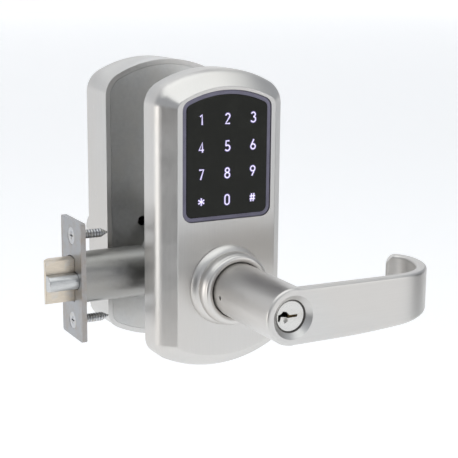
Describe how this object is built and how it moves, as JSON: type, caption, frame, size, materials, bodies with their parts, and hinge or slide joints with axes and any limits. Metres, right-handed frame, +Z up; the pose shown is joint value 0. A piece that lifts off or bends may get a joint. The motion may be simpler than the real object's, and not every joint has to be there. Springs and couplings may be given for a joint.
{
  "type": "keypad smart lock",
  "caption": "Keypad door lock with an arched trim, keyed lever, cylindrical chassis, spring latch with plunger, and battery housing with lever for the other face.",
  "frame": {"origin": "where the lever axis meets the door's outer face", "axes": "+Z up, +Y through the door from outside to inside, -X towards the door's latch edge"},
  "size_m": [0.1581, 0.2044, 0.141],
  "materials": {
    "satin_nickel": "satin brushed nickel plate on cast zinc",
    "keypad_glass": "polished black",
    "keypad_frame_plastic": "semi-gloss",
    "black_plastic": "fine moulded texture",
    "white_plastic": "matt",
    "circuit_board": "solder mask",
    "chip_plastic": "matt",
    "lamp_plastic": "clear",
    "rubber_seal": "soft",
    "zinc_plated_steel": "zinc plated",
    "spindle_steel": "turned",
    "satin_steel": "satin",
    "spring_steel": "drawn wire",
    "cylinder_brass": "machined",
    "plug_nickel": "satin nickel plate",
    "latch_metal": "satin nickel plate on sintered steel",
    "cell_jacket": "gloss sleeve"
  },
  "bodies": {
    "lock_body": {"battery_cells": "cell_jacket", "battery_contacts": "spring_steel", "battery_holder": "black_plastic", "buzzer": "black_plastic", "chassis_cap": "zinc_plated_steel", "chassis_housing": "zinc_plated_steel", "clutch_actuator": "black_plastic", "clutch_pin": "spindle_steel", "drive_cam": "zinc_plated_steel", "faceplate_screws": "satin_steel", "housing_screw": "satin_steel", "inside_bearing_tube": "zinc_plated_steel", "inside_collar": "satin_nickel", "inside_housing": "satin_nickel", "inside_mounting_plate": "zinc_plated_steel", "inside_return_spring": "spring_steel", "key_leds": "lamp_plastic", "keypad_board": "circuit_board", "keypad_chips": "chip_plastic", "keypad_cover": "black_plastic", "keypad_frame": "keypad_frame_plastic", "keypad_lens": "keypad_glass", "keypad_seal": "rubber_seal", "latch_barrel": "zinc_plated_steel", "latch_faceplate": "satin_steel", "latch_spring": "spring_steel", "light_guide": "white_plastic", "main_board": "circuit_board", "main_board_parts": "chip_plastic", "outside_back_plate": "zinc_plated_steel", "outside_bearing_tube": "zinc_plated_steel", "outside_collar": "satin_nickel", "outside_escutcheon": "satin_nickel", "outside_return_spring": "spring_steel", "outside_trim_screws": "satin_steel", "plunger_spring": "spring_steel", "retractor_springs": "spring_steel", "threaded_posts": "zinc_plated_steel", "through_bolts": "satin_steel", "weather_seal": "rubber_seal"},
    "outside_lever": {"outside_lever": "satin_nickel", "outside_spindle": "spindle_steel", "cylinder_shell": "cylinder_brass", "driver_pins": "cylinder_brass", "pin_springs": "spring_steel"},
    "key_plug": {"cylinder_plug": "plug_nickel", "key_pins": "cylinder_brass", "tailpiece": "spindle_steel"},
    "outside_catch": {"outside_catch": "spindle_steel"},
    "inside_lever": {"inside_lever": "satin_nickel", "inside_spindle": "spindle_steel"},
    "inside_catch": {"inside_catch": "spindle_steel"},
    "retractor": {"retractor": "zinc_plated_steel"},
    "latch_bolt": {"latch_bolt": "latch_metal", "latch_tail": "zinc_plated_steel"},
    "latch_plunger": {"latch_plunger": "latch_metal"},
    "battery_cover": {"battery_cover": "satin_nickel", "cover_screw": "satin_steel"}
  },
  "joints": [
    {"name": "outside_lever_turn", "type": "hinge", "parent": "lock_body", "child": "outside_lever", "pos_m": [0, 0, 0], "axis": [0, 1, 0], "range_deg": [0, 55], "stiffness_Nm_per_rad": 0.6, "springref_deg": -20.05, "deforming": ["outside_return_spring"]},
    {"name": "key_turn", "type": "hinge", "parent": "outside_lever", "child": "key_plug", "pos_m": [0, 0, 0], "axis": [0, 1, 0], "range_deg": [0, 90]},
    {"name": "outside_catch_press", "type": "slide", "parent": "outside_lever", "child": "outside_catch", "axis": [1, 0, 0], "range_m": [0, 0.0012], "stiffness_N_per_m": 200, "springref_m": -0.001},
    {"name": "inside_lever_turn", "type": "hinge", "parent": "lock_body", "child": "inside_lever", "pos_m": [0, 0.04445, 0], "axis": [0, 1, 0], "range_deg": [0, 55], "stiffness_Nm_per_rad": 0.6, "springref_deg": -20.05, "deforming": ["inside_return_spring"]},
    {"name": "inside_catch_press", "type": "slide", "parent": "inside_lever", "child": "inside_catch", "axis": [1, 0, 0], "range_m": [0, 0.0012], "stiffness_N_per_m": 200, "springref_m": -0.001},
    {"name": "retractor_slide", "type": "slide", "parent": "lock_body", "child": "retractor", "axis": [1, 0, 0], "range_m": [0, 0.014], "stiffness_N_per_m": 120, "springref_m": -0.004, "deforming": ["retractor_springs"]},
    {"name": "latch_bolt_slide", "type": "slide", "parent": "lock_body", "child": "latch_bolt", "axis": [1, 0, 0], "range_m": [0, 0.014], "stiffness_N_per_m": 120, "springref_m": -0.004, "deforming": ["latch_spring"]},
    {"name": "latch_plunger_slide", "type": "slide", "parent": "lock_body", "child": "latch_plunger", "axis": [1, 0, 0], "range_m": [0, 0.01], "stiffness_N_per_m": 100, "springref_m": -0.004, "deforming": ["plunger_spring"]},
    {"name": "battery_cover_pull", "type": "slide", "parent": "lock_body", "child": "battery_cover", "axis": [0, 1, 0], "range_m": [0, 0.03]}
  ],
  "couplings": [
    {"joint": "retractor_slide", "follows": "inside_lever_turn", "m_per_rad": 0.01458},
    {"joint": "latch_bolt_slide", "follows": "inside_lever_turn", "m_per_rad": 0.01458}
  ]
}
